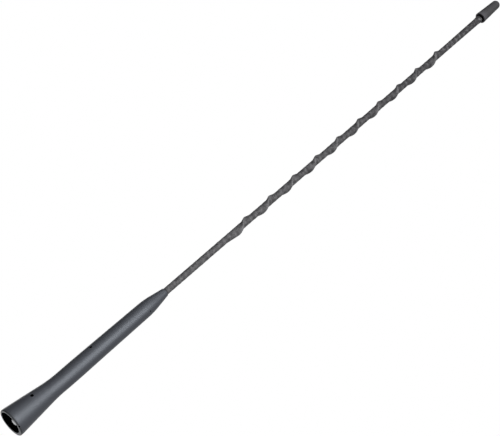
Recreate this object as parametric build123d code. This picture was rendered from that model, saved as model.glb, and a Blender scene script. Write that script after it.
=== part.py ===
from build123d import *

import math
import os

# Car mast aerial: a springy roof mast that screws onto a base on the car.
# The thread's axis is Z, the middle of the skirt's mouth is the origin and the tip points up.

# Overall
overall_length = 550.0

# Layers of the mast, from the core outwards
rod_diameter = 2.9
wire_layer = 0.35
sleeve_wall = 0.5
layer_gap = 0.05

# Grip, a rubber moulding over the insert and the foot of the mast.
# A blend is how far from its corner the outline starts to curve.
grip_length = 141.0
mouth_diameter = 20.3
rim_height = 2.6
rim_outer_chamfer = 0.6
rim_inner_chamfer = 0.6
waist_diameter = 12.7
waist_foot_height = 36.0
waist_blend = 5.0
waist_land = 4.0
belly_diameter = 12.85
belly_rise = 7.0
shoulder_diameter = 11.4
shoulder_blend = 2.4
nose_length = 16.5
nose_wall = 0.6
nose_chamfer = 0.35

# The soft skirt hangs a little to the -X side, bent at the waist
skirt_tilt = 1.6

# Socket inside the skirt, which takes the neck of the roof base
skirt_wall = 2.1
socket_depth = 17.0
socket_draft = 4.7

# Marks left by the pins that held the core in the mould, in opposite pairs
lower_pin_rise = 3.4
lower_pin_diameter = 2.0
lower_pin_angle = -132.0
middle_pin_drop = 6.6
middle_pin_diameter = 1.6
middle_pin_angle = -141.0
upper_pin_drop = 19.6
upper_pin_diameter = 1.1
upper_pin_angle = -54.0

# Threaded insert
stud_diameter = 5.0
stud_length = 15.0
stud_chamfer = 0.7
relief_diameter = 3.9
relief_length = 1.0
hex_across_flats = 10.0
hex_height = 6.0
barrel_diameter = 8.0
barrel_groove_depth = 0.6
barrel_groove_width = 3.0
barrel_groove_count = 2
rod_socket_depth = 34.0
winding_socket_depth = 6.0

# Sleeve: held in the grip at its foot, swelling and flaring over the bush just below the cap
bare_winding_length = 32.0
sleeve_lap = 30.0
swell_length = 40.0
swell_rise = 0.23
swell_land = 4.0
flare_length = 5.0
flare_rise = 0.5
flare_land = 0.8
sleeve_gap = 1.6

# Spiral bead on the sleeve, left-handed
bead_rise = 64.5
bead_top_drop = 1.6
bead_pitch = 26.1
bead_clock = 150.0
bead_height = 1.2
bead_width = 3.6
bead_crest_width = 0.9
bead_root = 0.4
bead_fade = 7.0

# Tip cap and the bush that carries it
cap_length = 26.2
cap_mouth_diameter = 9.3
cap_mouth_wall = 1.1
cap_rim_chamfer = 0.25
cap_band_height = 2.2
cap_step = 0.12
cap_step_height = 0.6
cap_top_diameter = 7.0
cap_recess_depth = 3.8
bush_shoulder = 0.3
bush_spigot_length = 12.0
bush_floor = 3.0

# Room between the moulded grip and what it holds
moulding_gap = 0.05

# Sizes that follow from those above
rod_radius = rod_diameter / 2
winding_inner = rod_radius + layer_gap
winding_outer = winding_inner + wire_layer
sleeve_inner = winding_outer + layer_gap
mast_radius = sleeve_inner + sleeve_wall
sleeve_foot = grip_length - sleeve_lap
insert_top = sleeve_foot - bare_winding_length
barrel_foot = socket_depth + hex_height
rod_foot = insert_top - rod_socket_depth
winding_foot = insert_top - winding_socket_depth
cap_foot = overall_length - cap_length
cap_floor = cap_foot + cap_recess_depth
sleeve_end = cap_foot - sleeve_gap
flare_end = sleeve_end - flare_land
flare_foot = flare_end - flare_length
swell_end = flare_foot - swell_land
swell_foot = swell_end - swell_length
bush_head = mast_radius + flare_rise - sleeve_wall - layer_gap
bush_spigot = bush_head - bush_shoulder
spigot_top = cap_floor + bush_spigot_length
bead_foot = grip_length + bead_rise
bead_length = swell_foot - bead_top_drop - bead_foot


def turned(*outline):
    """A solid turned about Z from an outline of (radius, height) lines and curves."""
    return revolve(Plane.XZ * make_face(list(outline)), Axis.Z)


def blended(*corners):
    """Lines past (radius, height, blend) corners, with an arc round each corner that has a blend."""
    places = [Vector(radius, height) for radius, height, _ in corners]
    edges = []
    start = places[0]
    for i in range(1, len(corners)):
        blend = corners[i][2]
        way = (places[i] - places[i - 1]).normalized()
        stop = places[i] - way * blend
        edges.append(Line(start, stop))
        start = stop
        if blend:
            start = places[i] + (places[i + 1] - places[i]).normalized() * blend
            edges.append(TangentArc(stop, start, tangent=way))
    return edges


def column(radius, foot, top):
    """A round bar along the thread's axis."""
    return extrude(Pos(0, 0, foot) * Circle(radius), top - foot)


def hexagon(across_flats, foot, top):
    """A six-sided bar along the thread's axis."""
    return extrude(Pos(0, 0, foot) * RegularPolygon(across_flats / 2, 6, major_radius=False), top - foot)


def make_skin():
    """The grip's outside with its open socket: a tilted skirt mitred to an upright shaft at the waist."""
    mouth = mouth_diameter / 2
    waist = waist_diameter / 2
    nose = mast_radius + moulding_gap + nose_wall
    socket = mouth - skirt_wall
    socket_floor = socket - socket_depth * math.tan(math.radians(socket_draft))
    land_foot = waist_foot_height + waist_blend
    land_top = land_foot + waist_land
    flare = blended(
        (mouth, rim_height, 0),
        (waist, waist_foot_height, waist_blend),
        (waist, land_top, 0),
    )
    mouth_rim = Polyline(
        (waist, land_top),
        (0, land_top),
        (0, socket_depth),
        (socket_floor, socket_depth),
        (socket, rim_inner_chamfer),
        (socket + rim_inner_chamfer, 0),
        (mouth - rim_outer_chamfer, 0),
        (mouth, rim_outer_chamfer),
        (mouth, rim_height),
    )
    taper = blended(
        (waist, land_foot, 0),
        (waist, land_top, 0),
        (belly_diameter / 2, land_top + belly_rise, 0),
        (shoulder_diameter / 2, grip_length - nose_length, shoulder_blend),
        (nose, grip_length - nose_chamfer, 0),
    )
    nose_end = Polyline(
        (nose, grip_length - nose_chamfer),
        (nose - nose_chamfer, grip_length),
        (0, grip_length),
        (0, land_foot),
        (waist, land_foot),
    )
    bend = (land_foot + land_top) / 2
    swing = Pos(0, 0, bend) * Rot(0, skirt_tilt, 0) * Pos(0, 0, -bend)
    mitre = Plane(Pos(0, 0, bend) * Rot(0, skirt_tilt / 2, 0))
    skirt = split(swing * turned(*flare, mouth_rim), mitre, Keep.BOTTOM)
    return skirt + split(turned(*taper, nose_end), mitre, Keep.TOP)


def pin_marks():
    """Blind holes from the grip's outside to what it holds."""
    marks = []
    for height, angle, diameter, core in (
        (socket_depth + lower_pin_rise, lower_pin_angle, lower_pin_diameter, hex_across_flats / 2),
        (insert_top - middle_pin_drop, middle_pin_angle, middle_pin_diameter, barrel_diameter / 2),
        (grip_length - upper_pin_drop, upper_pin_angle, upper_pin_diameter, mast_radius),
    ):
        for side in (0, 180):
            across = Plane(origin=(0, 0, height), z_dir=Vector(1, 0, 0).rotate(Axis.Z, angle + side))
            marks.append(extrude(across.offset(core) * Circle(diameter / 2), mouth_diameter))
    return marks


def make_grip():
    grip = make_skin()
    grip -= hexagon(hex_across_flats + 2 * moulding_gap, socket_depth - hex_height, barrel_foot)
    grip -= column(barrel_diameter / 2 + moulding_gap, socket_depth, insert_top)
    grip -= column(winding_outer + moulding_gap, insert_top, sleeve_foot)
    grip -= column(mast_radius + moulding_gap, sleeve_foot, grip_length)
    for mark in pin_marks():
        grip -= mark
    return grip


def make_insert():
    """Stud, hexagon and grooved barrel, turned from one bar and drilled for the rod."""
    stud = stud_diameter / 2
    stud_tip = socket_depth - stud_length
    relief_foot = socket_depth - relief_length
    stud_outline = Polyline(
        (0, stud_tip),
        (stud - stud_chamfer, stud_tip),
        (stud, stud_tip + stud_chamfer),
        (stud, relief_foot),
        (relief_diameter / 2, relief_foot),
        (relief_diameter / 2, socket_depth),
        (0, socket_depth),
        close=True,
    )
    insert = turned(stud_outline)
    insert += hexagon(hex_across_flats, socket_depth, barrel_foot)
    insert += column(barrel_diameter / 2, barrel_foot, insert_top)
    spacing = (insert_top - barrel_foot) / (barrel_groove_count + 1)
    for i in range(barrel_groove_count):
        foot = barrel_foot + spacing * (i + 1) - barrel_groove_width / 2
        top = foot + barrel_groove_width
        core = column(barrel_diameter / 2 - barrel_groove_depth, foot, top)
        insert -= column(barrel_diameter, foot, top) - core
    insert -= column(winding_inner, rod_foot, insert_top)
    insert -= column(winding_outer + layer_gap, winding_foot, insert_top)
    return insert


def make_rod():
    return column(rod_radius, rod_foot, spigot_top - bush_floor)


def make_winding():
    """The wound wire as one thin layer on the rod."""
    layer = column(winding_outer, winding_foot, swell_end)
    return layer - column(winding_inner, winding_foot, swell_end)


def bead_section(run):
    """The bead square to its own run: a flat crest with sloping flanks that dip into the mast."""
    lead = math.hypot(2 * math.pi * mast_radius, bead_pitch)
    half_width = bead_width / 2
    around = half_width * bead_pitch / (lead * mast_radius)
    foot = Vector(mast_radius * (math.sqrt(1 - around**2) - 1), half_width)
    crest = Vector(bead_height, bead_crest_width / 2)
    root = foot + (foot - crest).normalized() * bead_root
    outline = Polyline(root, crest, (crest.X, -crest.Y), (root.X, -root.Y), close=True)
    return Plane(origin=run @ 0, x_dir=(1, 0, 0), z_dir=run % 0) * make_face(outline)


def make_bead():
    """The spiral bead, cut back to nothing at both ends by a long spindle."""
    run = Helix(bead_pitch, bead_length, mast_radius, lefthand=True)
    bead = sweep(bead_section(run), path=run, is_frenet=True)
    bead = Pos(0, 0, bead_foot) * Rot(0, 0, bead_clock) * bead
    bead_end = bead_foot + bead_length
    outside = mast_radius + 2 * bead_height
    slope = bead_height / bead_fade
    rise = (outside - mast_radius) / slope + 1
    spindle = Polyline(
        (0, bead_foot),
        (mast_radius - slope, bead_foot),
        (outside, bead_foot + rise),
        (outside, bead_end - rise),
        (mast_radius - slope, bead_end),
        (0, bead_end),
        close=True,
    )
    return bead & turned(spindle)


def sleeve_core(shrink):
    """What the sleeve's outside holds when it is drawn in all round by a thickness."""
    mast = mast_radius - shrink
    neck = mast + swell_rise
    flare = mast + flare_rise
    swell = Spline((mast, swell_foot), (neck, swell_end), tangents=[(0, 1), (0, 1)])
    rest = Polyline(
        (neck, swell_end),
        (neck, flare_foot),
        (flare, flare_end),
        (flare, sleeve_end),
        (0, sleeve_end),
        (0, sleeve_foot),
        (mast, sleeve_foot),
        (mast, swell_foot),
    )
    return turned(swell, rest)


def make_sleeve():
    return sleeve_core(0) + make_bead() - sleeve_core(sleeve_wall)


def make_bush():
    """A plug on the rod's end, under the sleeve's flare, across the gap above it and up into the cap."""
    neck = mast_radius + swell_rise - sleeve_wall - layer_gap
    outline = Polyline(
        (0, swell_end),
        (neck, swell_end),
        (neck, flare_foot),
        (bush_head, flare_end),
        (bush_head, cap_floor),
        (bush_spigot, cap_floor),
        (bush_spigot, spigot_top),
        (0, spigot_top),
        close=True,
    )
    return turned(outline) - column(winding_inner, swell_end, spigot_top - bush_floor)


def make_cap():
    """A tapered cap with a banded mouth, a domed end and a stepped bore."""
    mouth = cap_mouth_diameter / 2
    top = cap_top_diameter / 2
    dome_foot = overall_length - top
    dome_side = top * math.sqrt(0.5)
    band_top = cap_foot + cap_band_height
    dome = ThreePointArc((top, dome_foot), (dome_side, dome_foot + dome_side), (0, overall_length))
    rest = Polyline(
        (0, overall_length),
        (0, spigot_top),
        (bush_spigot + layer_gap, spigot_top),
        (bush_spigot + layer_gap, cap_floor),
        (mouth - cap_mouth_wall, cap_floor),
        (mouth - cap_mouth_wall, cap_foot),
        (mouth - cap_rim_chamfer, cap_foot),
        (mouth, cap_foot + cap_rim_chamfer),
        (mouth, band_top),
        (mouth - cap_step, band_top + cap_step_height),
        (top, dome_foot),
    )
    return turned(dome, rest)


os.makedirs("parts", exist_ok=True)
pieces = {
    "grip": make_grip(),
    "threaded_insert": make_insert(),
    "core_rod": make_rod(),
    "antenna_winding": make_winding(),
    "mast_sleeve": make_sleeve(),
    "tip_bush": make_bush(),
    "tip_cap": make_cap(),
}
for name, piece in pieces.items():
    export_step(piece, f"parts/{name}.step")
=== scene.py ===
import math

import bpy
from mathutils import Matrix, Vector, noise


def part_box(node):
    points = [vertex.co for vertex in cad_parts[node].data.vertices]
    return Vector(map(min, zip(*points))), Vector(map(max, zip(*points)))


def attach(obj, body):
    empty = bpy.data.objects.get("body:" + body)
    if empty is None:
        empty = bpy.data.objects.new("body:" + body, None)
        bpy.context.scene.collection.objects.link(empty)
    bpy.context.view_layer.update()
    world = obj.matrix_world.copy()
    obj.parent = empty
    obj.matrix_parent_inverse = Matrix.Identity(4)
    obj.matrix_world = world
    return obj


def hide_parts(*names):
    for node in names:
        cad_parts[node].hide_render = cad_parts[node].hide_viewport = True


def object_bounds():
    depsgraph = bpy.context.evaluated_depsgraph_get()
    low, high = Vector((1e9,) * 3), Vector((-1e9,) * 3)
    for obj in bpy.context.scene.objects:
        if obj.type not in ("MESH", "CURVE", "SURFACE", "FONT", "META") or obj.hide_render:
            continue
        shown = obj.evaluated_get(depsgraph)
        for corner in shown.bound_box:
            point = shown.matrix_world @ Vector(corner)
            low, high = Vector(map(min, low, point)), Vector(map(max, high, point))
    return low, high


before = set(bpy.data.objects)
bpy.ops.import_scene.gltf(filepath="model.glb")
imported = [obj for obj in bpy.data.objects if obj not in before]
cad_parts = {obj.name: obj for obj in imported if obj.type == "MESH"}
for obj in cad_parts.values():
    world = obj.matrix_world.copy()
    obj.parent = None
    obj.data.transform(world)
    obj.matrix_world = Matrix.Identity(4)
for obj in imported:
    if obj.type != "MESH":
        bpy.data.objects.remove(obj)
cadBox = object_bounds()  # the solids' box, before anything is added
mm = 0.001
fullTurn = 2 * math.pi
sameSpot = 0.001 * mm  # places nearer than this are one place
mergeReach = 0.01 * mm  # doubles nearer than this are merged
print("frame loaded with", len(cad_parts), "solids")


# Camera: the photograph is taken from below, square to the skirt's lean, and rolled
photoView = {
    "pictureWidth": 500,
    "focalPixels": 1290.0,
    "climb": 29.75,  # degrees that the view looks up
    "roll": 40.967,  # degrees between the mast and the picture's lower edge
    "aim": (-0.01, 0.0, 230.4),  # mm, what stands in the picture's middle
    "distance": 932.5,
    "nearClip": 10.0,
}


def placeCamera():
    climb = math.radians(photoView["climb"])
    roll = math.radians(photoView["roll"])
    look = Vector((0, math.cos(climb), math.sin(climb)))
    mastWay = Vector((0, -math.sin(climb), math.cos(climb)))
    sideWay = Vector((1, 0, 0))
    right = mastWay * math.cos(roll) + sideWay * math.sin(roll)
    up = mastWay * math.sin(roll) - sideWay * math.cos(roll)
    spot = (Vector(photoView["aim"]) - look * photoView["distance"]) * mm
    bpy.ops.object.camera_add()
    camera = bpy.context.object
    camera.name = "photoCamera"
    camera.matrix_world = Matrix.Translation(spot) @ Matrix((right, up, -look)).transposed().to_4x4()
    camera.data.lens = camera.data.sensor_width * photoView["focalPixels"] / photoView["pictureWidth"]
    camera.data.clip_start = photoView["nearClip"] * mm
    bpy.context.scene.camera = camera


placeCamera()
print("camera placed")


# Shader maths: one node socket, with arithmetic on it
class Shade:
    def __init__(self, tree, socket):
        self.tree = tree
        self.socket = socket

    def node(self, kind, settings, sockets, output=0):
        made = self.tree.nodes.new(kind)
        for key, value in settings.items():
            setattr(made, key, value)
        for key, value in sockets.items():
            if isinstance(value, Shade):
                self.tree.links.new(value.socket, made.inputs[key])
            else:
                made.inputs[key].default_value = value
        return Shade(self.tree, made.outputs[output])

    def maths(self, operation, first, second):
        return self.node("ShaderNodeMath", {"operation": operation}, {0: first, 1: second})

    def __add__(self, other):
        return self.maths("ADD", self, other)

    def __radd__(self, other):
        return self.maths("ADD", other, self)

    def __sub__(self, other):
        return self.maths("SUBTRACT", self, other)

    def __rsub__(self, other):
        return self.maths("SUBTRACT", other, self)

    def __mul__(self, other):
        return self.maths("MULTIPLY", self, other)

    def __rmul__(self, other):
        return self.maths("MULTIPLY", other, self)

    def __truediv__(self, other):
        return self.maths("DIVIDE", self, other)

    def __rtruediv__(self, other):
        return self.maths("DIVIDE", other, self)

    def __pow__(self, other):
        return self.maths("POWER", self, other)

    def __rpow__(self, other):
        return self.maths("POWER", other, self)

    def axis(self, letter):  # one part of a vector
        return self.node("ShaderNodeSeparateXYZ", {}, {"Vector": self}, letter)

    def grain(self, scale, detail, roughness=0.5):
        sockets = {"Vector": self, "Scale": scale, "Detail": detail, "Roughness": roughness}
        return self.node("ShaderNodeTexNoise", {}, sockets)

    def between(self, low, high):  # 0 below low, 1 above high, soft in between
        settings = {"interpolation_type": "SMOOTHSTEP"}
        return self.node("ShaderNodeMapRange", settings, {"Value": self, "From Min": low, "From Max": high})

    def tint(self, dark, light):  # this value as the mix of two colours
        factor, first, second, result = 0, 6, 7, 2  # the Mix node's sockets for colours
        dark, light = ((*colour, 1) if isinstance(colour, tuple) else colour for colour in (dark, light))
        sockets = {factor: self, first: dark, second: light}
        return self.node("ShaderNodeMix", {"data_type": "RGBA"}, sockets, result)

    def bump(self, strength, depth):  # depth in mm
        sockets = {"Strength": strength, "Distance": depth * mm, "Height": self}
        return self.node("ShaderNodeBump", {}, sockets)

    def feed(self, shader, socket):
        self.tree.links.new(self.socket, shader.inputs[socket])


def startFinish(name, sockets):
    finish = bpy.data.materials.new(name)
    finish.use_nodes = True
    tree = finish.node_tree
    shader = tree.nodes["Principled BSDF"]
    for key, value in sockets.items():
        shader.inputs[key].default_value = value
    places = tree.nodes.new("ShaderNodeTexCoord")
    return finish, shader, Shade(tree, places.outputs["Object"])


# Modelling helpers
def freshStart():
    if bpy.context.mode != "OBJECT":
        bpy.ops.object.mode_set(mode="OBJECT")
    bpy.ops.object.select_all(action="DESELECT")


def makeActive(piece):
    freshStart()
    piece.select_set(True)
    bpy.context.view_layer.objects.active = piece


def openPiece(piece, kind, action):
    makeActive(piece)
    bpy.ops.object.mode_set(mode="EDIT")
    bpy.ops.mesh.select_mode(type=kind)
    bpy.ops.mesh.select_all(action=action)


def pickVertices(piece, test):
    openPiece(piece, "VERT", "DESELECT")
    bpy.ops.object.mode_set(mode="OBJECT")
    for vertex in piece.data.vertices:
        vertex.select = test(vertex.co)
    bpy.ops.object.mode_set(mode="EDIT")


def pickEdges(piece, test):
    openPiece(piece, "EDGE", "DESELECT")
    bpy.ops.object.mode_set(mode="OBJECT")
    picked = 0
    for edge in piece.data.edges:
        edge.select = test(*(piece.data.vertices[i].co for i in edge.vertices))
        picked += edge.select
    bpy.ops.object.mode_set(mode="EDIT")
    return picked


# A half outline in the XZ plane: corners are (radius, height, reach of the round, its segments) in mm
sharp = (0, 0)  # a corner with no round


def drawOutline(name, corners, longestRun):
    freshStart()
    bpy.ops.mesh.primitive_plane_add(size=mm)
    piece = bpy.context.object
    piece.name = name
    bpy.ops.object.mode_set(mode="EDIT")
    bpy.ops.mesh.select_mode(type="VERT")
    bpy.ops.mesh.merge(type="CENTER")
    spots = [Vector((corner[0], 0, corner[1])) * mm for corner in corners]
    bpy.ops.transform.translate(value=spots[0])
    for here, there in zip(spots, spots[1:]):
        bpy.ops.mesh.extrude_vertices_move(TRANSFORM_OT_translate={"value": there - here})
    for spot, corner in zip(spots, corners):
        reach, segments = corner[2:]
        if reach:
            pickVertices(piece, lambda place: (place - spot).length < sameSpot)
            bpy.ops.mesh.bevel(offset=reach * mm, segments=segments, affect="VERTICES")
    while pickEdges(piece, lambda one, two: (one - two).length > longestRun * mm):
        bpy.ops.mesh.subdivide(number_cuts=1)
    return piece


def tidyMesh(piece):
    openPiece(piece, "VERT", "SELECT")
    bpy.ops.mesh.remove_doubles(threshold=mergeReach)
    bpy.ops.mesh.normals_make_consistent(inside=False)
    bpy.ops.object.mode_set(mode="OBJECT")


def turnOutline(piece, sides):
    openPiece(piece, "VERT", "SELECT")
    bpy.ops.mesh.spin(steps=sides, angle=fullTurn, center=(0, 0, 0), axis=(0, 0, 1))
    tidyMesh(piece)


def applyModifier(piece, kind, settings):
    makeActive(piece)
    bpy.ops.object.modifier_add(type=kind)
    added = piece.modifiers[-1]
    for key, value in settings.items():
        setattr(added, key, value)
    bpy.ops.object.modifier_apply(modifier=added.name)


def carve(piece, tool, operation="DIFFERENCE"):
    applyModifier(piece, "BOOLEAN", {"object": tool, "operation": operation, "solver": "EXACT"})
    bpy.data.objects.remove(tool)


def joinPieces(first, others):
    makeActive(first)
    for other in others:
        other.select_set(True)
    bpy.ops.object.join()
    return first


def smoothPiece(piece, degrees):
    makeActive(piece)
    bpy.ops.object.shade_smooth_by_angle(angle=math.radians(degrees))


def standFor(piece, node, finishes):
    piece.data.materials.clear()
    for finish in finishes:
        piece.data.materials.append(finish)
    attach(piece, "root")
    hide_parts(node)


# The springy mast isn't quite straight: it bows to +X between the insert and the cap
bowSettings = {
    "foot": 79.0,
    "top": 524.0,
    "rise": 0.40,
}


def bowAt(height):
    foot, top = bowSettings["foot"], bowSettings["top"]
    part = min(1.0, max(0.0, (height - foot) / (top - foot)))
    return bowSettings["rise"] * math.sin(math.pi * part)


def bowPiece(piece):
    for vertex in piece.data.vertices:
        vertex.co.x += bowAt(vertex.co.z / mm) * mm


# Grip: a rubber moulding with a flared skirt, a long taper and a thin nose round the mast
gripSettings = {
    "sides": 120,
    "longestRun": 2.4,
    "smoothAngle": 32,
    "mouthRadius": 10.15,
    "rimHeight": 2.6,
    "waistRadius": 6.35,
    "waistFoot": 36.0,
    "landTop": 45.0,
    "bellyRadius": 6.425,
    "bellyHeight": 52.0,
    "shoulderRadius": 5.7,
    "shoulderDrop": 16.5,  # from the nose's end
    "noseRadius": 3.05,
    "mastHole": 2.57,
    "mastHoleFoot": 111.0,
    "windingHole": 1.9,
    "barrelHole": 4.05,
    "barrelTop": 79.0,
    "socketDepth": 17.0,
    "socketRadius": 8.10,
    "socketFloorRadius": 6.65,
    "rounds": {  # reach and segments at the outline's corners
        "socketFloor": (0.4, 3),
        "lipInside": (0.45, 5),
        "lipOutside": (0.6, 6),
        "rim": (0.9, 4),
        "waist": (5.0, 8),
        "land": (1.5, 3),
        "belly": (4.0, 4),
        "shoulder": (4.5, 8),
        "nose": (0.3, 4),
    },
    "socketShift": -0.55,  # the mouth's wall is thinner at -X
    "shiftLevels": (0.3, 0.6, 0.9),  # shares of the socket's depth, each with its part of the shift
    "socketEdge": 8.57,  # what lies inside this radius is shifted
    "skirtLean": 1.6,  # degrees towards -X
    "leanLevels": (47.0, 45.0, 43.0, 41.0, 39.0),
    "leanEdge": 4.55,  # what lies outside this radius leans
    "hexRoom": 10.1,  # across flats
    "hexRoomFoot": 11.0,
    "hexRoomTop": 23.0,
    "pins": (  # height, angle, diameter and floor radius of the mould's pin marks, and of a nick in the lip
        (20.4, -132.0, 2.3, 5.6),
        (20.4, 48.0, 2.3, 5.6),
        (72.4, -137.0, 1.9, 4.5),
        (72.4, 43.0, 1.9, 4.5),
        (121.4, -54.0, 1.1, 3.2),
        (121.4, 126.0, 1.1, 3.2),
        (0.3, -66.0, 1.2, 8.9),
    ),
    "pinSides": 28,
    "pinReach": 12.15,  # radius to which their tools stand out
    "rubber": {
        "colours": ((0.034, 0.0365, 0.044), (0.044, 0.047, 0.057)),
        "lipShadeColour": (0.016, 0.017, 0.018),
        "specular": 0.7,
        "specularTint": (0.86, 0.92, 1.0, 1),
        "cloud": (90, 3),  # scale, detail and roughness of the noise
        "pores": (2600, 2, 0.6),
        "wornLip": (0.1, 0.6),  # mm above the lip's edge, where the wear ends
        "lipShadeLine": (0.1, 0.35, 0.7, 1.2),  # where the painted shade along the lip's outer round starts, is full, thins and ends
        "roughness": 0.40,
        "cloudRough": 0.08,
        "poreRough": 0.06,
        "lipSmooth": 0.08,
        "lipShadeRough": 0.25,
        "bump": (0.25, 0.05),  # strength, and depth in mm
    },
    "socketShade": {
        "colours": ((0.0008, 0.0008, 0.0008), (0.0025, 0.0025, 0.0025)),
        "dust": (400, 3),
        "roughness": 0.8,
        "dustRough": 0.15,
        "top": 17.5,  # just above the socket's floor
        "lipFacing": -0.58,  # how far a face looks inwards to be inside the lip
        "wallFoot": 2.0,  # above this, all that doesn't look outwards
        "wallFacing": 0.3,
        "pinMargin": 0.1,
        "pinShare": 0.51,  # of a mark's diameter
        "pinFacing": 0.4,
    },
}


def hexBar(acrossFlats, foot, top):
    freshStart()
    bpy.ops.mesh.primitive_cylinder_add(
        vertices=6, radius=acrossFlats / math.sqrt(3) * mm, depth=(top - foot) * mm,
        location=(0, 0, (foot + top) / 2 * mm), rotation=(0, 0, fullTurn / 12))
    bpy.ops.object.transform_apply()
    return bpy.context.object


def pinTool(height, angle, diameter, floorRadius):
    freshStart()
    turn = math.radians(angle)
    reach = gripSettings["pinReach"]
    middle = (floorRadius + reach) / 2 * mm
    bpy.ops.mesh.primitive_cylinder_add(
        vertices=gripSettings["pinSides"], radius=diameter / 2 * mm, depth=(reach - floorRadius) * mm,
        location=(middle * math.cos(turn), middle * math.sin(turn), height * mm),
        rotation=(0, fullTurn / 4, turn))
    bpy.ops.object.transform_apply()
    return bpy.context.object


def makeGrip():
    sizes = gripSettings
    rounds = sizes["rounds"]
    depth = sizes["socketDepth"]
    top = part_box("grip")[1].z / mm
    outline = (
        (sizes["barrelHole"], depth, *sharp),
        (sizes["socketFloorRadius"], depth, *rounds["socketFloor"]),
        (sizes["socketRadius"], 0, *rounds["lipInside"]),
        (sizes["mouthRadius"], 0, *rounds["lipOutside"]),
        (sizes["mouthRadius"], sizes["rimHeight"], *rounds["rim"]),
        (sizes["waistRadius"], sizes["waistFoot"], *rounds["waist"]),
        (sizes["waistRadius"], sizes["landTop"], *rounds["land"]),
        (sizes["bellyRadius"], sizes["bellyHeight"], *rounds["belly"]),
        (sizes["shoulderRadius"], top - sizes["shoulderDrop"], *rounds["shoulder"]),
        (sizes["noseRadius"], top, *rounds["nose"]),
        (sizes["mastHole"], top, *sharp),
        (sizes["mastHole"], sizes["mastHoleFoot"], *sharp),
        (sizes["windingHole"], sizes["mastHoleFoot"], *sharp),
        (sizes["windingHole"], sizes["barrelTop"], *sharp),
        (sizes["barrelHole"], sizes["barrelTop"], *sharp),
        (sizes["barrelHole"], depth, *sharp),
    )
    grip = drawOutline("gripSkin", outline, sizes["longestRun"])
    turnOutline(grip, sizes["sides"])
    # the socket's mouth is moulded off centre, less so at its floor
    shift = sizes["socketShift"] / len(sizes["shiftLevels"])
    for level in sizes["shiftLevels"]:
        shiftTop = depth * (1 - level) * mm
        pickVertices(grip, lambda place: place.z < shiftTop and place.xy.length < sizes["socketEdge"] * mm)
        bpy.ops.transform.translate(value=(shift * mm, 0, 0))
    # the skirt leans to one side, a little at each level of the waist
    part = math.radians(sizes["skirtLean"]) / len(sizes["leanLevels"])
    for level in sizes["leanLevels"]:
        pickVertices(grip, lambda place: place.z < level * mm and place.xy.length > sizes["leanEdge"] * mm)
        bpy.ops.transform.rotate(value=-part, orient_axis="Y", center_override=(0, 0, level * mm))
    freshStart()
    carve(grip, hexBar(sizes["hexRoom"], sizes["hexRoomFoot"], sizes["hexRoomTop"]))
    for mark in sizes["pins"]:
        carve(grip, pinTool(*mark))
    bowPiece(grip)
    smoothPiece(grip, sizes["smoothAngle"])
    return grip


def rubberFinish():
    look = gripSettings["rubber"]
    finish, shader, place = startFinish("gripRubber", {
        "Specular IOR Level": look["specular"], "Specular Tint": look["specularTint"]})
    cloud = place.grain(*look["cloud"])
    pores = place.grain(*look["pores"])
    aboveLip = place.axis("Z") + place.axis("X") * math.tan(math.radians(gripSettings["skirtLean"]))
    wearAndHighlightFull, wearAndHighlightEnd = look["wornLip"]
    lip = 1 - aboveLip.between(wearAndHighlightFull * mm, wearAndHighlightEnd * mm)  # the lip is worn smoother
    # painted shade: a dark line along the lip's outer round, also made rougher
    starts, full, thins, ends = look["lipShadeLine"]
    lipShade = aboveLip.between(starts * mm, full * mm) * (1 - aboveLip.between(thins * mm, ends * mm))
    clean = cloud.tint(*look["colours"])
    lipShade.tint(clean, look["lipShadeColour"]).feed(shader, "Base Color")
    rough = look["roughness"] + cloud * look["cloudRough"] + pores * look["poreRough"]
    (rough - lip * look["lipSmooth"] + lipShade * look["lipShadeRough"]).feed(shader, "Roughness")
    pores.bump(*look["bump"]).feed(shader, "Normal")
    return finish


# Painted shade: a near-black finish with no specular for the socket's inside and the pin marks
def socketShadeFinish():
    look = gripSettings["socketShade"]
    finish, shader, place = startFinish("socketShade", {"Specular IOR Level": 0.0})
    dust = place.grain(*look["dust"])
    dust.tint(*look["colours"]).feed(shader, "Base Color")
    (look["roughness"] + dust * look["dustRough"]).feed(shader, "Roughness")
    return finish


def paintSocket(grip):  # the second finish, a near-black painted shade, goes on the faces inside the skirt
    look = gripSettings["socketShade"]
    levels = gripSettings["leanLevels"]
    middle = levels[len(levels) // 2]
    lean = math.tan(math.radians(gripSettings["skirtLean"]))
    for face in grip.data.polygons:
        x, y, height = face.center / mm
        outward = Vector((x + (middle - height) * lean, y, 0)).normalized()
        facing = face.normal.dot(outward)
        onWall = height > look["wallFoot"] and facing < look["wallFacing"]
        if height < look["top"] and (facing < look["lipFacing"] or onWall):
            face.material_index = 1


def paintPins(grip):  # and into the pin marks and the lip's nick, as painted shade too
    look = gripSettings["socketShade"]
    margin = look["pinMargin"]
    for height, angle, diameter, floorRadius in gripSettings["pins"]:
        turn = math.radians(angle)
        way = Vector((math.cos(turn), math.sin(turn), 0))
        for face in grip.data.polygons:
            offset = face.center / mm - Vector((0, 0, height))
            depth = offset.dot(way)
            aside = (offset - way * depth).length
            inHole = depth > floorRadius - margin and aside < diameter * look["pinShare"]
            onWall = abs(face.normal.dot(way)) < look["pinFacing"]
            if inHole and (onWall or depth < floorRadius + margin):
                face.material_index = 1


gripSkin = makeGrip()
standFor(gripSkin, "grip", [rubberFinish(), socketShadeFinish()])
paintSocket(gripSkin)
paintPins(gripSkin)
print("grip made:", len(gripSkin.data.polygons), "faces")


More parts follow.
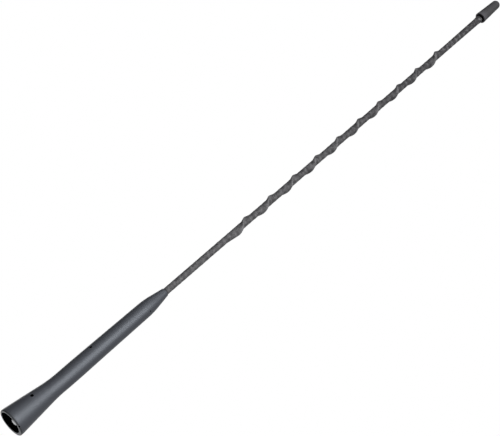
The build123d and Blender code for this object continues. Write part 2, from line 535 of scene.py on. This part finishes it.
# Mast: a thin sleeve shrunk over a wire winding and over a thicker spiral wire, the bead
mastSettings = {
    "sides": 64,
    "rowStep": 0.75,
    "smoothAngle": 40,
    "radius": 2.52,
    "wall": 0.62,
    "swellFoot": 472.4,
    "swellTop": 512.4,
    "swellRise": 0.23,
    "flareFoot": 516.4,
    "flareTop": 521.4,
    "flareRise": 0.5,
    "plainLength": 10.0,  # the relief dies out over this length below the flare
    "wirePitch": 5.7,
    "wireRise": 0.10,
    "wireLevel": 0.35,  # share of the rise that lies below the mean surface
    "wireWidth": 0.95,
    "wireTop": 508.0,
    "wireFade": 20.0,
    "beadFirst": 213.98,  # height at which the bead first stands out to +X
    "beadPitch": 27.873,
    "beadTightening": -0.1936,  # change of pitch from turn to turn
    "beadSway": 0.8,  # up at +X and down at -X
    "beadLastStretch": 2.2,  # the last turn is drawn out
    "beadStretchTurns": (1.1, 0.9),  # it starts so far before the end and takes so long
    "beadTurns": (-0.22, 9.72),
    "beadFade": 0.22,  # turns
    "beadLead": 2.0,  # the sleeve slopes up to the bead's start over a longer way
    "beadLeadTurns": 0.3,
    "beadEndRise": 0.25,  # its first and last turns stand out more
    "beadEndTurns": (1.6, 0.4),  # counted like the stretch
    "beadRise": 1.2,
    "beadReach": 1.9,  # half width at the mast's surface
    "beadCrest": 0.15,  # roundness of the crest
    "beadFoot": 0.12,  # and of the foot
    "beadMiddle": 0.3,  # from the mast's surface out to the bead's middle line
    "lumps": 0.035,
    "lumpSize": 7.0,
    "sleeve": {
        "colours": ((0.036, 0.035, 0.038), (0.160, 0.158, 0.164)),
        "seatShadeColour": (0.012, 0.012, 0.013),
        "specular": 0.3,
        "blotches": (420, 3, 0.6),  # scale, detail and roughness of the noise
        "specks": (2200, 2, 0.6),
        "tipShadeLength": 380.0,  # painted shade: the sleeve darkens from the grip up the mast over this length
        "bareLead": 20.0,  # the bare stretch above the bead comes in over this length
        "seatShade": (0.4, 0.8),  # mm above the nose: painted shade below the first, gone by the second
        "mean": 0.33,
        "tipShadeLoss": 0.32,
        "bareLoss": 0.09,
        "mottle": (2.2, 2.4),  # strength along the bead, and what the bare stretch adds
        "wireLight": (0.3, 0.45),
        "crestHighlight": 0.6,
        "crestHighlightSharpness": 5.0,
        "roughness": 0.5,
        "blotchRough": 0.12,
        "speckRough": 0.06,
        "relief": (0.7, 0.3),  # shares of blotches and specks
        "bump": (0.35, 0.08),
    },
}


def softStep(value):
    value = min(1.0, max(0.0, value))
    return value * value * (3 - 2 * value)


def mastRadius(height):
    sizes = mastSettings
    swellLength = sizes["swellTop"] - sizes["swellFoot"]
    flareLength = sizes["flareTop"] - sizes["flareFoot"]
    swell = sizes["swellRise"] * softStep((height - sizes["swellFoot"]) / swellLength)
    flare = softStep((height - sizes["flareFoot"]) / flareLength)
    return sizes["radius"] + swell + (sizes["flareRise"] - sizes["swellRise"]) * flare


def wireRidge(turn, height):  # 0 to 1 over the wound wire, left-handed
    sizes = mastSettings
    phase = height / sizes["wirePitch"] + turn
    away = (phase - round(phase)) * sizes["wirePitch"]
    fade = softStep((sizes["wireTop"] - height) / sizes["wireFade"])
    return math.exp(-((away / sizes["wireWidth"]) ** 2)) * fade


def beadHeight(turns):
    sizes = mastSettings
    even = sizes["beadFirst"] + sizes["beadPitch"] * turns + sizes["beadTightening"] * turns * turns
    sway = sizes["beadSway"] * math.cos(fullTurn * turns)
    before, length = sizes["beadStretchTurns"]
    stretch = softStep((turns - sizes["beadTurns"][1] + before) / length)
    return even + sway + sizes["beadLastStretch"] * stretch


def beadRidge(turn, height):  # 0 to 1 over the spiral bead, left-handed
    sizes = mastSettings
    pitch, tightening = sizes["beadPitch"], sizes["beadTightening"]
    root = pitch * pitch - 4 * tightening * (sizes["beadFirst"] - height)
    turns = (math.sqrt(root) - pitch) / (2 * tightening)
    crest = round(turns + turn) - turn
    first, last = sizes["beadTurns"]
    fade = softStep((crest - first) / sizes["beadFade"]) * softStep((last - crest) / sizes["beadFade"])
    localPitch = pitch + 2 * tightening * turns
    around = fullTurn * (sizes["radius"] + sizes["beadMiddle"])
    away = (height - beadHeight(crest)) * around / math.hypot(around, localPitch)
    before, length = sizes["beadEndTurns"]
    start = softStep((sizes["beadLeadTurns"] - crest) / sizes["beadLeadTurns"])
    end = softStep((crest - last + before) / length)
    fade *= 1 + sizes["beadEndRise"] * max(start, end)
    reach = sizes["beadReach"]
    if away < 0:
        reach *= 1 + sizes["beadLead"] * start
    tent = 1 - (math.hypot(away, sizes["beadCrest"]) - sizes["beadCrest"]) / reach
    return fade * (tent + math.hypot(tent, sizes["beadFoot"])) / 2 if fade else 0.0


def makeTube(foot, top):
    sizes = mastSettings
    rows = round((top - foot) / sizes["rowStep"])
    step = (top - foot) / rows
    freshStart()
    bpy.ops.mesh.primitive_cylinder_add(
        vertices=sizes["sides"], radius=sizes["radius"] * mm, depth=step * mm,
        end_fill_type="NOTHING", location=(0, 0, (foot + step / 2) * mm))
    bpy.ops.object.transform_apply()
    tube = bpy.context.object
    tube.name = "mastSkin"
    applyModifier(tube, "ARRAY", {
        "count": rows, "use_relative_offset": False, "use_constant_offset": True,
        "constant_offset_displace": (0, 0, step * mm),
        "use_merge_vertices": True, "merge_threshold": mergeReach})
    return tube


def lineTube(tube, foot, top):  # the inner wall is drawn in at the top, taken down and bridged at the foot
    sizes = mastSettings
    bore = sizes["radius"] - sizes["wall"]
    stops = (
        (top, bore + sizes["flareRise"]),
        (sizes["flareTop"], bore + sizes["flareRise"]),
        (sizes["flareFoot"], bore + sizes["swellRise"]),
        (sizes["swellTop"], bore + sizes["swellRise"]),
        (sizes["swellFoot"], bore),
        (foot, bore),
    )
    height, radius = top, sizes["radius"]
    pickVertices(tube, lambda place: place.z > top * mm - mergeReach)
    for nextHeight, nextRadius in stops:
        drop = (nextHeight - height) * mm
        factor = nextRadius / radius
        bpy.ops.mesh.extrude_region_move(TRANSFORM_OT_translate={"value": (0, 0, drop)})
        bpy.ops.transform.resize(value=(factor, factor, 1), center_override=(0, 0, 0))
        height, radius = nextHeight, nextRadius
    pickVertices(tube, lambda place: place.z < foot * mm + mergeReach)
    bpy.ops.mesh.select_mode(type="EDGE")
    bpy.ops.mesh.bridge_edge_loops()
    freshStart()


def raiseRelief(mast):  # the outside takes its swell and flare, the wire, the bead and small lumps
    sizes = mastSettings
    wires, beads = [], []
    for vertex in mast.data.vertices:
        wire = bead = 0.0
        if abs(vertex.co.xy.length - sizes["radius"] * mm) < sameSpot:
            height = vertex.co.z / mm
            turn = math.atan2(vertex.co.y, vertex.co.x) / fullTurn
            wire, bead = wireRidge(turn, height), beadRidge(turn, height)
            wound = (wire - sizes["wireLevel"]) * sizes["wireRise"] * max(0, 1 - bead)
            lump = sizes["lumps"] * noise.noise(vertex.co / (sizes["lumpSize"] * mm))
            fade = softStep((sizes["flareFoot"] - height) / sizes["plainLength"])
            radius = mastRadius(height) + fade * (wound + bead * sizes["beadRise"] + lump)
            vertex.co.xy *= radius / sizes["radius"]
        wires.append(wire)
        beads.append(min(1.0, bead))
    for name, values in (("wireRidge", wires), ("beadRidge", beads)):
        mast.data.attributes.new(name, "FLOAT", "POINT").data.foreach_set("value", values)


def makeMast():
    foot, top = (corner.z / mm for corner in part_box("mast_sleeve"))
    mast = makeTube(foot, top)
    lineTube(mast, foot, top)
    raiseRelief(mast)
    bowPiece(mast)
    tidyMesh(mast)
    smoothPiece(mast, mastSettings["smoothAngle"])
    return mast


def sleeveFinish():
    look = mastSettings["sleeve"]
    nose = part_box("grip")[1].z
    bareFoot = mastSettings["swellFoot"]
    finish, shader, place = startFinish("sleevePlastic", {"Specular IOR Level": look["specular"]})
    wire = place.node("ShaderNodeAttribute", {"attribute_name": "wireRidge"}, {}, "Fac")
    bead = place.node("ShaderNodeAttribute", {"attribute_name": "beadRidge"}, {}, "Fac")
    height = place.axis("Z")
    blotch = place.grain(*look["blotches"])
    speck = place.grain(*look["specks"])
    upward = height.between(nose, nose + look["tipShadeLength"] * mm)
    bare = height.between((bareFoot - look["bareLead"]) * mm, bareFoot * mm)
    mottle, bareMottle = look["mottle"]
    wireLight, bareWireLight = look["wireLight"]
    light = (blotch - 0.5) * (mottle + bare * bareMottle) + wire * (wireLight + bare * bareWireLight)
    # painted highlight along the bead's crest
    light = light + bead ** look["crestHighlightSharpness"] * look["crestHighlight"] + look["mean"]
    # painted shade: darker up the mast towards the tip, and more over the bare stretch
    light = light - upward * look["tipShadeLoss"] - bare * look["bareLoss"]
    shade = light.tint(*look["colours"])
    seatFoot, seatTop = look["seatShade"]
    seatShade = height.between(nose + seatFoot * mm, nose + seatTop * mm)  # painted shade where the mast leaves the nose
    seatShade.tint(look["seatShadeColour"], shade).feed(shader, "Base Color")
    rough = look["roughness"] + blotch * look["blotchRough"] + speck * look["speckRough"]
    rough.feed(shader, "Roughness")
    coarse, fine = look["relief"]
    (blotch * coarse + speck * fine).bump(*look["bump"]).feed(shader, "Normal")
    return finish


mastSkin = makeMast()
standFor(mastSkin, "mast_sleeve", [sleeveFinish()])
print("mast made:", len(mastSkin.data.polygons), "faces")


# Tip cap: a soft tapered cap with a banded mouth over the sleeve's flared end
capSettings = {
    "sides": 96,
    "longestRun": 1.6,
    "smoothAngle": 35,
    "mouthRadius": 4.65,
    "mouthWall": 1.1,
    "bandHeight": 2.2,
    "step": 0.12,
    "stepHeight": 0.6,
    "topRadius": 3.5,
    "domeFlat": 0.005,
    "domeSegments": 14,
    "recessDepth": 3.8,
    "spigotRadius": 2.10,
    "spigotTop": 539.6,
    "rounds": {  # reach and segments at the outline's corners
        "step": (0.4, 3),
        "band": (0.25, 3),
        "rimOutside": (0.22, 4),
        "rimInside": (0.15, 3),
        "recessFloor": (0.4, 3),
    },
    "rubber": {
        "colours": ((0.043, 0.042, 0.045), (0.059, 0.058, 0.061)),
        "rimHighlightColour": (0.080, 0.078, 0.086),
        "rimHighlight": (0.6, 8.0),  # mm above the mouth, where the painted highlight is full and where it ends
        "specular": 0.25,
        "cloud": (180, 3),  # scale, detail and roughness of the noise
        "pores": (2400, 2, 0.6),
        "roughness": 0.55,
        "cloudRough": 0.1,
        "poreRough": 0.06,
        "bump": (0.25, 0.05),
    },
    "recess": {
        "colours": ((0.002, 0.002, 0.002), (0.005, 0.005, 0.005)),
        "cloud": (500, 3),
        "roughness": 0.55,
        "cloudRough": 0.15,
        "rise": 0.2,  # from the mouth and past the recess's floor
        "margin": 0.05,  # past its wall
    },
}


def makeCap():
    sizes = capSettings
    rounds = sizes["rounds"]
    foot, top = (corner.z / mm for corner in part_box("tip_cap"))
    mouth = sizes["mouthRadius"]
    inside = mouth - sizes["mouthWall"]
    bandTop = foot + sizes["bandHeight"]
    floor = foot + sizes["recessDepth"]
    outline = (
        (0, top, *sharp),
        (sizes["topRadius"], top, sizes["topRadius"] - sizes["domeFlat"], sizes["domeSegments"]),
        (mouth - sizes["step"], bandTop + sizes["stepHeight"], *rounds["step"]),
        (mouth, bandTop, *rounds["band"]),
        (mouth, foot, *rounds["rimOutside"]),
        (inside, foot, *rounds["rimInside"]),
        (inside, floor, *rounds["recessFloor"]),
        (sizes["spigotRadius"], floor, *sharp),
        (sizes["spigotRadius"], sizes["spigotTop"], *sharp),
        (0, sizes["spigotTop"], *sharp),
    )
    cap = drawOutline("tipCap", outline, sizes["longestRun"])
    turnOutline(cap, sizes["sides"])
    smoothPiece(cap, sizes["smoothAngle"])
    return cap


def capFinish():
    look = capSettings["rubber"]
    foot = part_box("tip_cap")[0].z
    finish, shader, place = startFinish("capRubber", {"Specular IOR Level": look["specular"]})
    cloud = place.grain(*look["cloud"])
    pores = place.grain(*look["pores"])
    wearAndHighlightFull, wearAndHighlightEnd = look["rimHighlight"]
    rimHighlight = 1 - place.axis("Z").between(foot + wearAndHighlightFull * mm, foot + wearAndHighlightEnd * mm)  # painted highlight: paler, with a faint purple tint, towards the mouth
    rimHighlight.tint(cloud.tint(*look["colours"]), look["rimHighlightColour"]).feed(shader, "Base Color")
    rough = look["roughness"] + cloud * look["cloudRough"] + pores * look["poreRough"]
    rough.feed(shader, "Roughness")
    pores.bump(*look["bump"]).feed(shader, "Normal")
    return finish


# Painted shade: a near-black finish with no specular for the cap's recess and the bush in it
def recessShadeFinish():
    look = capSettings["recess"]
    finish, shader, place = startFinish("recessPaintedShade", {"Specular IOR Level": 0.0})
    cloud = place.grain(*look["cloud"])
    cloud.tint(*look["colours"]).feed(shader, "Base Color")
    (look["roughness"] + cloud * look["cloudRough"]).feed(shader, "Roughness")
    return finish


def paintRecess(cap):  # painted shade: the near-black finish goes on the faces inside the mouth
    sizes = capSettings
    rise = sizes["recess"]["rise"]
    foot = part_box("tip_cap")[0].z / mm
    outer = sizes["mouthRadius"] - sizes["mouthWall"] + sizes["recess"]["margin"]
    for face in cap.data.polygons:
        height = face.center.z / mm - foot
        if rise < height < sizes["recessDepth"] + rise and face.center.xy.length < outer * mm:
            face.material_index = 1


tipCap = makeCap()
outerFinish = capFinish()
recessShade = recessShadeFinish()
standFor(tipCap, "tip_cap", [outerFinish, recessShade])
paintRecess(tipCap)
print("cap made:", len(tipCap.data.polygons), "faces")


# Threaded insert: a turned steel bar with an M5 stud, a hexagon and a grooved barrel
insertSettings = {
    "sides": 72,
    "longestRun": 20.0,
    "smoothAngle": 30,
    "threadSides": 48,
    "threadPitch": 0.8,
    "threadCrest": 2.49,
    "threadRoot": 2.03,
    "threadProfile": ((0.0, 0), (0.22, 0), (0.55, 1), (0.67, 1), (1.0, 0)),  # share of the pitch, 1 on crests
    "spareTurns": 2,  # at each end, cut off again
    "cutSpare": (0.3, 0.4),  # the thread is cut so far below the stud's tip and above its relief's foot
    "cutTolerance": 0.0001,
    "seamReach": 0.005,  # the thread's turns are merged within this
    "envelopeGap": 0.02,
    "studTip": 2.0,
    "studChamfer": 0.3,
    "studCup": 0.36,  # a rolled thread leaves its end hollow
    "reliefRadius": 1.95,
    "reliefLength": 1.0,
    "reliefSlope": 0.35,
    "reliefLap": (0.1, 0.2),  # stud and bar run so far into each other
    "hexFoot": 17.0,
    "hexTop": 23.0,
    "hexLap": 1.0,
    "hexAcrossFlats": 10.0,
    "hexEdge": (0.3, 3),
    "barrelRadius": 4.0,
    "barrelTop": 79.0,
    "barrelEnd": (0.4, 2),
    "grooveDepth": 0.6,
    "grooveWidth": 3.0,
    "grooves": 2,
    "grooveEdge": (0.15, 2),
    "grooveFloor": (0.2, 2),
    "rodHole": 1.5,
    "rodHoleFoot": 45.0,
    "windingHole": 1.9,
    "windingHoleFoot": 73.0,
    "steel": {
        "plated": ((0.50, 0.49, 0.45), (0.66, 0.65, 0.62)),
        "endColour": (0.46, 0.47, 0.48),
        "endReach": 0.2,
        "cloud": (350, 3),  # scale and detail of the noise
        "rings": (9000, 2),
        "roughness": 0.24,
        "cloudRough": 0.16,
        "endSmooth": 0.06,
        "bump": (0.2, 0.02),
    },
}


def makeThread():
    sizes = insertSettings
    pitch, crest, root = sizes["threadPitch"], sizes["threadCrest"], sizes["threadRoot"]
    tip, spare = sizes["studTip"], sizes["spareTurns"]
    reliefFoot = sizes["hexFoot"] - sizes["reliefLength"]
    start = tip - spare * pitch
    turns = math.ceil((reliefFoot - start) / pitch) + spare
    profile = []
    for share, onCrest in sizes["threadProfile"]:
        profile.append((crest if onCrest else root, start + pitch * share, *sharp))
    thread = drawOutline("threadTurns", profile, sizes["longestRun"])
    applyModifier(thread, "SCREW", {
        "axis": "Z", "angle": fullTurn, "screw_offset": pitch * mm, "iterations": turns,
        "steps": sizes["threadSides"], "render_steps": sizes["threadSides"],
        "use_merge_vertices": True, "merge_threshold": sizes["seamReach"] * mm})
    tidyMesh(thread)
    below, above = sizes["cutSpare"]
    for level, way in ((tip - below, -1), (reliefFoot + above, 1)):
        openPiece(thread, "VERT", "SELECT")
        bpy.ops.mesh.bisect(
            plane_co=(0, 0, level * mm), plane_no=(0, 0, way), use_fill=True, clear_outer=True,
            threshold=sizes["cutTolerance"] * mm)
    tidyMesh(thread)
    gap, lap = sizes["envelopeGap"], sizes["reliefLap"][0]
    envelope = drawOutline("studEnvelope", (
        (0, tip + sizes["studCup"], *sharp),
        (crest - sizes["studChamfer"], tip, *sharp),
        (crest + gap, tip + sizes["studChamfer"], *sharp),
        (crest + gap, reliefFoot - sizes["reliefSlope"], *sharp),
        (sizes["reliefRadius"] + gap, reliefFoot + lap, *sharp),
        (0, reliefFoot + lap, *sharp),
    ), sizes["longestRun"])
    turnOutline(envelope, sizes["threadSides"] * 2)
    carve(thread, envelope, "INTERSECT")
    return thread


def makeInsert():
    sizes = insertSettings
    radius, top = sizes["barrelRadius"], sizes["barrelTop"]
    barFoot = sizes["hexFoot"] - sizes["reliefLength"] - sizes["reliefLap"][1]
    barrelFoot = sizes["hexTop"] - sizes["hexLap"]
    outline = [
        (0, barFoot, *sharp),
        (sizes["reliefRadius"], barFoot, *sharp),
        (sizes["reliefRadius"], barrelFoot, *sharp),
        (radius, barrelFoot, *sharp),
    ]
    deep = radius - sizes["grooveDepth"]
    spacing = (top - sizes["hexTop"]) / (sizes["grooves"] + 1)
    for i in range(sizes["grooves"]):
        middle = sizes["hexTop"] + spacing * (i + 1)
        low, high = middle - sizes["grooveWidth"] / 2, middle + sizes["grooveWidth"] / 2
        outline += [
            (radius, low, *sizes["grooveEdge"]),
            (deep, low, *sizes["grooveFloor"]),
            (deep, high, *sizes["grooveFloor"]),
            (radius, high, *sizes["grooveEdge"]),
        ]
    outline += [
        (radius, top, *sizes["barrelEnd"]),
        (sizes["windingHole"], top, *sharp),
        (sizes["windingHole"], sizes["windingHoleFoot"], *sharp),
        (sizes["rodHole"], sizes["windingHoleFoot"], *sharp),
        (sizes["rodHole"], sizes["rodHoleFoot"], *sharp),
        (0, sizes["rodHoleFoot"], *sharp),
    ]
    barrel = drawOutline("studInsert", outline, sizes["longestRun"])
    turnOutline(barrel, sizes["sides"])
    hexagon = hexBar(sizes["hexAcrossFlats"], sizes["hexFoot"], sizes["hexTop"])
    reach, segments = sizes["hexEdge"]
    openPiece(hexagon, "EDGE", "SELECT")
    bpy.ops.mesh.bevel(offset=reach * mm, segments=segments)
    freshStart()
    insert = joinPieces(barrel, [hexagon, makeThread()])
    smoothPiece(insert, sizes["smoothAngle"])
    return insert


def steelFinish():
    look = insertSettings["steel"]
    finish, shader, place = startFinish("zincSteel", {"Metallic": 1.0})
    height = place.axis("Z")
    scale, detail = look["rings"]
    turned = {"W": height, "Scale": scale, "Detail": detail}
    rings = height.node("ShaderNodeTexNoise", {"noise_dimensions": "1D"}, turned)
    cloud = place.grain(*look["cloud"])
    cupTop = insertSettings["studTip"] + insertSettings["studCup"]
    endFace = 1 - height.between(cupTop * mm, (cupTop + look["endReach"]) * mm)  # bare steel
    endFace.tint(cloud.tint(*look["plated"]), look["endColour"]).feed(shader, "Base Color")
    rough = look["roughness"] + cloud * look["cloudRough"] - endFace * look["endSmooth"]
    rough.feed(shader, "Roughness")
    rings.bump(*look["bump"]).feed(shader, "Normal")
    return finish


studInsert = makeInsert()
standFor(studInsert, "threaded_insert", [steelFinish()])
print("insert made:", len(studInsert.data.polygons), "faces")


# The rod, the winding and the bush keep their solids and get their finishes; the bush gets the recess's
# painted shade
coreSettings = {
    "rod": {
        "colours": ((0.48, 0.43, 0.28), (0.70, 0.66, 0.50)),
        "specular": 0.4,
        "fibres": (6000, 6000, 60),  # fine across the rod, long along it
        "fibreNoise": (1.0, 3),
        "roughness": 0.4,
        "fibreRough": 0.2,
        "bump": (0.2, 0.02),
    },
    "winding": {
        "colours": ((0.30, 0.13, 0.06), (0.62, 0.31, 0.15)),
        "metallic": 0.9,
        "roughness": 0.35,
        "turnScale": 55,
        "bump": (0.6, 0.15),
    },
}


def rodFinish():
    look = coreSettings["rod"]
    finish, shader, place = startFinish("glassFibre", {"Specular IOR Level": look["specular"]})
    stretched = place.node("ShaderNodeMapping", {}, {"Vector": place, "Scale": look["fibres"]})
    fibres = stretched.grain(*look["fibreNoise"])
    fibres.tint(*look["colours"]).feed(shader, "Base Color")
    (look["roughness"] + fibres * look["fibreRough"]).feed(shader, "Roughness")
    fibres.bump(*look["bump"]).feed(shader, "Normal")
    return finish


def windingFinish():
    look = coreSettings["winding"]
    finish, shader, place = startFinish("copperWire", {
        "Metallic": look["metallic"], "Roughness": look["roughness"]})
    wave = {"wave_type": "BANDS", "bands_direction": "Z", "wave_profile": "SIN"}
    turns = place.node("ShaderNodeTexWave", wave, {"Vector": place, "Scale": look["turnScale"]}, "Fac")
    turns.tint(*look["colours"]).feed(shader, "Base Color")
    turns.bump(*look["bump"]).feed(shader, "Normal")
    return finish


coreFinishes = {"core_rod": rodFinish(), "antenna_winding": windingFinish(), "tip_bush": recessShade}
for node, finish in coreFinishes.items():
    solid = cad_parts[node]
    solid.data.materials.clear()
    solid.data.materials.append(finish)
print("solids finished")


# Stage: a pale floor under the rim that is clear from below, a white surround with dark cards at
# both sides and underneath, a wide soft lamp in front, a weaker one behind and a small one for the tip
stageSettings = {
    "white": (1, 1, 1, 1),
    "floorRadius": 4.0,
    "floorSides": 96,
    "floorDrop": 0.00005,
    "floorColour": (0.86, 0.86, 0.86, 1),
    "floorRoughness": 0.9,
    "floorFade": (0.3, 1.1),  # metres from the middle, over which it turns white
    "ambient": 0.34,
    "leftCard": (0.35, 0.80, 0.84),  # to -X: where it starts, where it is full, and how dark it is
    "rightCard": (0.45, 0.85, 0.50),  # to +X
    "lowerCard": (0.75, 0.92, 0.85),
    "lamps": {  # place, aim, size and power
        "frontLamp": ((0.16, -1.10, 0.38), (0.0, 0.0, 0.15), (1.05, 0.68), 13.2),
        "backLamp": ((-0.30, 1.20, 0.70), (0.0, 0.0, 0.25), (0.80, 0.80), 3.5),
        "tipLamp": ((-0.65, -0.45, 0.75), (0.0, 0.0, 0.48), (0.40, 0.40), 1.1),
    },
}


def makeFloor():
    freshStart()
    level = cadBox[0].z - stageSettings["floorDrop"]
    bpy.ops.mesh.primitive_circle_add(
        vertices=stageSettings["floorSides"], radius=stageSettings["floorRadius"],
        fill_type="NGON", location=(0, 0, level))
    floor = bpy.context.object
    floor.name = "floor"
    floor.visible_shadow = floor.visible_diffuse = floor.visible_glossy = False
    finish, shader, place = startFinish("paleFloor", {
        "Base Color": stageSettings["floorColour"], "Roughness": stageSettings["floorRoughness"],
        "Specular IOR Level": 0.0})
    tree = finish.node_tree
    away = place.node("ShaderNodeVectorMath", {"operation": "LENGTH"}, {0: place}, "Value")
    below = place.node("ShaderNodeNewGeometry", {}, {}, "Backfacing")
    white = place.node("ShaderNodeEmission", {}, {"Color": stageSettings["white"], "Strength": 1.0})
    clear = place.node("ShaderNodeBsdfTransparent", {}, {})
    matt = Shade(tree, shader.outputs[0])
    fade = away.between(*stageSettings["floorFade"])
    faded = place.node("ShaderNodeMixShader", {}, {0: fade, 1: matt, 2: white})
    shown = place.node("ShaderNodeMixShader", {}, {0: below, 1: faded, 2: clear})
    tree.links.new(shown.socket, tree.nodes["Material Output"].inputs["Surface"])
    floor.data.materials.append(finish)


def darkCard(way, start, full, darkness):
    return way.between(start, full) * darkness


def makeSurround():
    world = bpy.data.worlds.new("surround")
    bpy.context.scene.world = world
    world.use_nodes = True
    tree = world.node_tree
    seen = tree.nodes["Background"]
    seen.inputs["Color"].default_value = stageSettings["white"]
    seen.inputs["Strength"].default_value = 1.0
    paths = tree.nodes.new("ShaderNodeLightPath").outputs
    direct = Shade(tree, paths["Is Camera Ray"])
    mirrored = Shade(tree, paths["Is Glossy Ray"])
    through = Shade(tree, paths["Is Transmission Ray"])
    way = Shade(tree, tree.nodes.new("ShaderNodeTexCoord").outputs["Generated"])
    across, along, rise = (way.axis(letter) for letter in "XYZ")
    sideways = across / (across * across + along * along) ** 0.5
    left = darkCard(0 - sideways, *stageSettings["leftCard"])
    right = darkCard(sideways, *stageSettings["rightCard"])
    lower = darkCard(0 - rise, *stageSettings["lowerCard"])
    ambient = stageSettings["ambient"]
    level = ambient + (1 - ambient) * mirrored.maths("MAXIMUM", mirrored, through)
    studio = direct.node("ShaderNodeBackground", {}, {
        "Color": stageSettings["white"], "Strength": level * (1 - (left + right)) * (1 - lower)})
    mixed = direct.node("ShaderNodeMixShader", {}, {0: direct, 1: studio, 2: Shade(tree, seen.outputs[0])})
    tree.links.new(mixed.socket, tree.nodes["World Output"].inputs["Surface"])


def makeLamp(name, place, aim, size, power):
    freshStart()
    bpy.ops.object.light_add(type="AREA", location=place)
    lamp = bpy.context.object
    lamp.name = name
    lamp.data.shape = "RECTANGLE"
    lamp.data.size, lamp.data.size_y = size
    lamp.data.energy = power
    lamp.rotation_mode = "QUATERNION"
    lamp.rotation_quaternion = (Vector(aim) - Vector(place)).to_track_quat("-Z", "Y")
    lamp.visible_camera = False


makeFloor()
makeSurround()
for name, values in stageSettings["lamps"].items():
    makeLamp(name, *values)
bpy.context.scene.view_settings.view_transform = "Standard"
print("stage lit")

freshStart()
